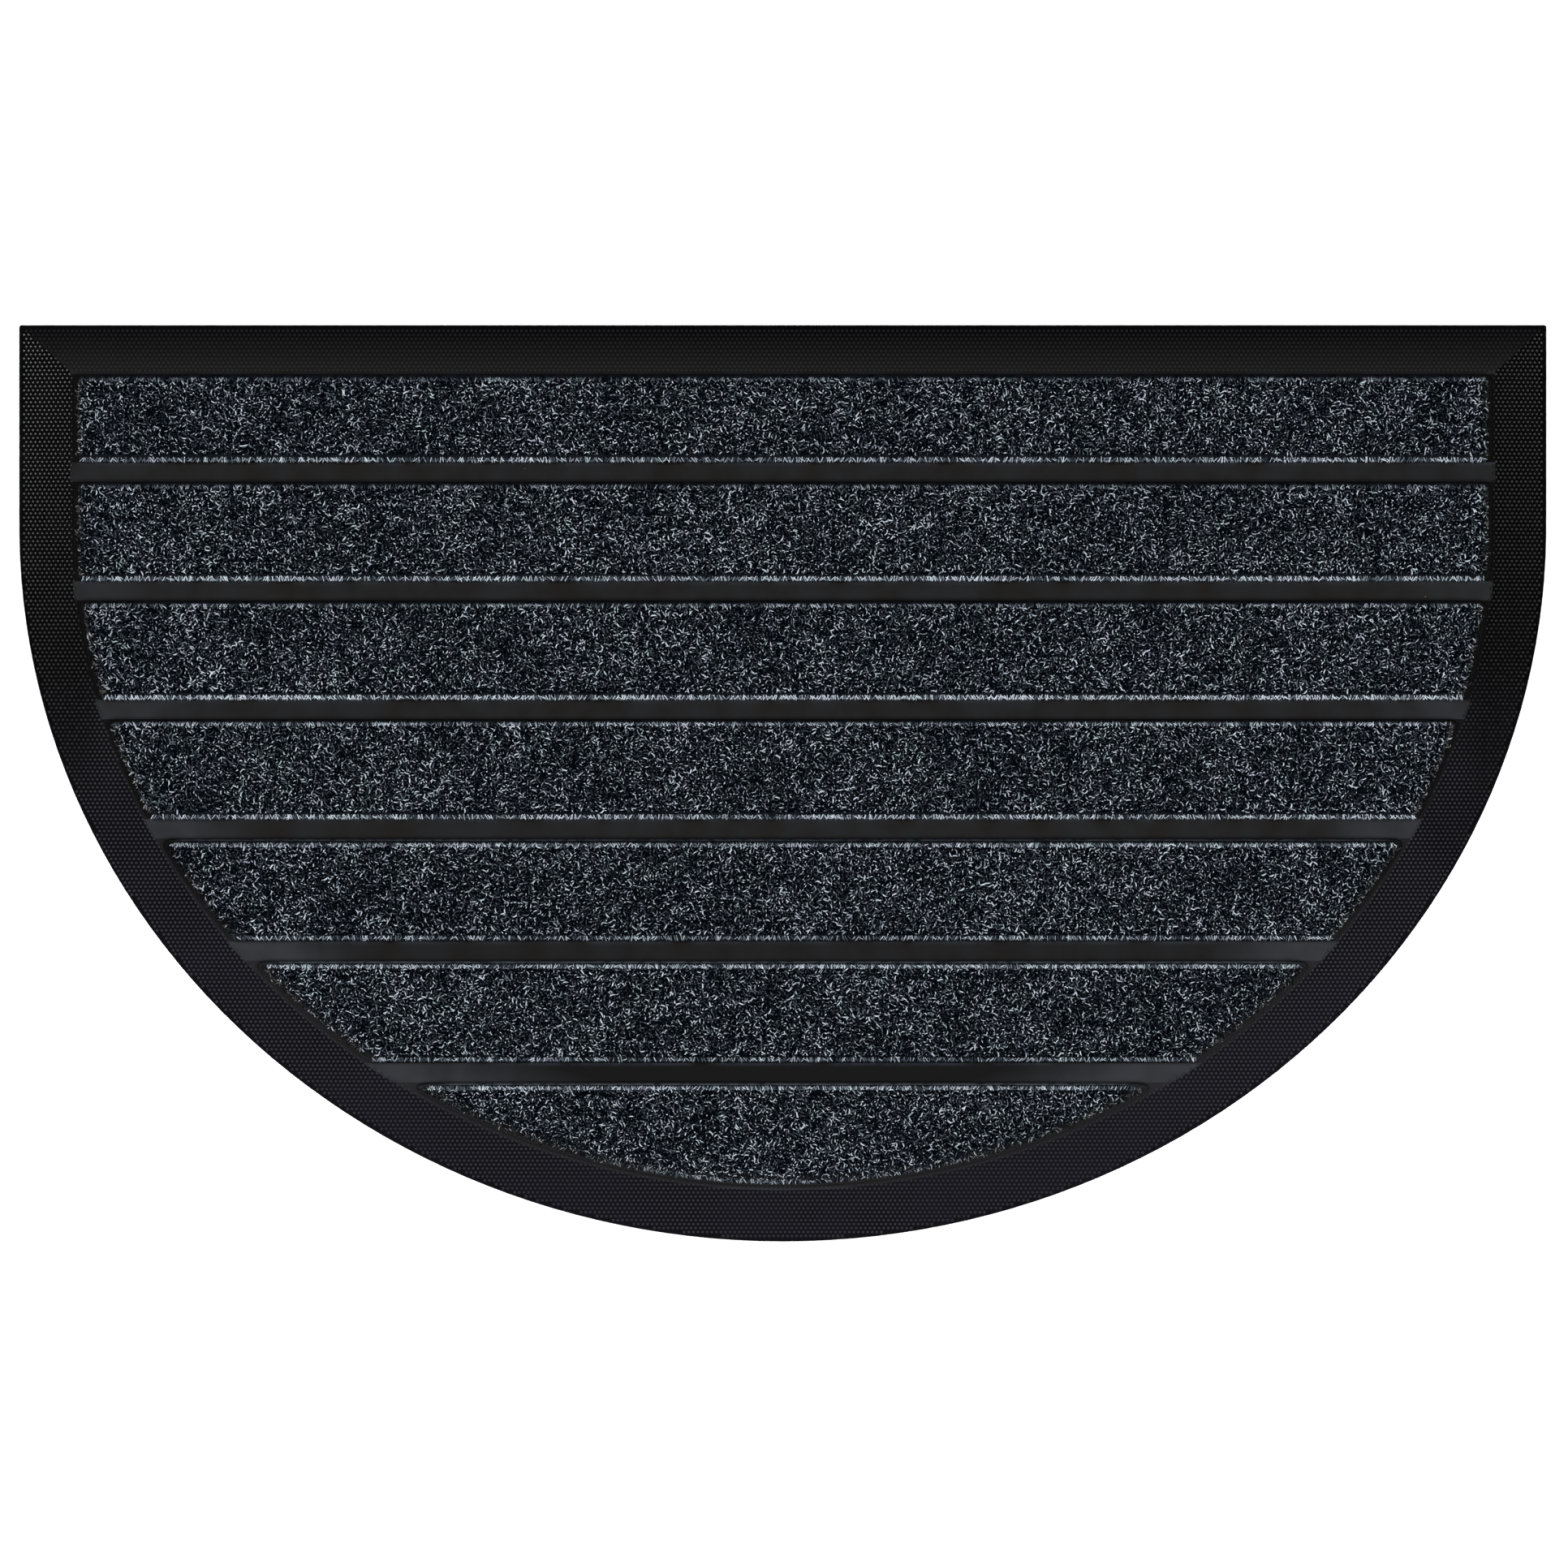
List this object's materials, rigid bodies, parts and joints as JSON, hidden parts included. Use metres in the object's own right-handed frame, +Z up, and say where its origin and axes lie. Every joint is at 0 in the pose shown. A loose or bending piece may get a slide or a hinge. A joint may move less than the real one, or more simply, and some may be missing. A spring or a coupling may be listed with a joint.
{
  "type": "half-round doormat",
  "caption": "Half-round doormat: black rubber base with a low ramped border of fine pips, and raised bars of charcoal pile with smooth channels between them.",
  "frame": {"origin": "on the floor under the middle of the mat's bounding box", "axes": "+X along the straight back edge, +Y from the arc to the straight back edge, +Z up"},
  "size_m": [0.75, 0.45, 0.008],
  "materials": {
    "rubber": "black moulded rubber with a soft sheen",
    "pile": "charcoal looped pile, pressed shiny along the edges"
  },
  "bodies": {
    "root": {"rubber_base": "rubber", "pile_pad_1": "pile", "pile_pad_2": "pile", "pile_pad_3": "pile", "pile_pad_4": "pile", "pile_pad_5": "pile", "pile_pad_6": "pile", "pile_pad_7": "pile"}
  },
  "joints": []
}
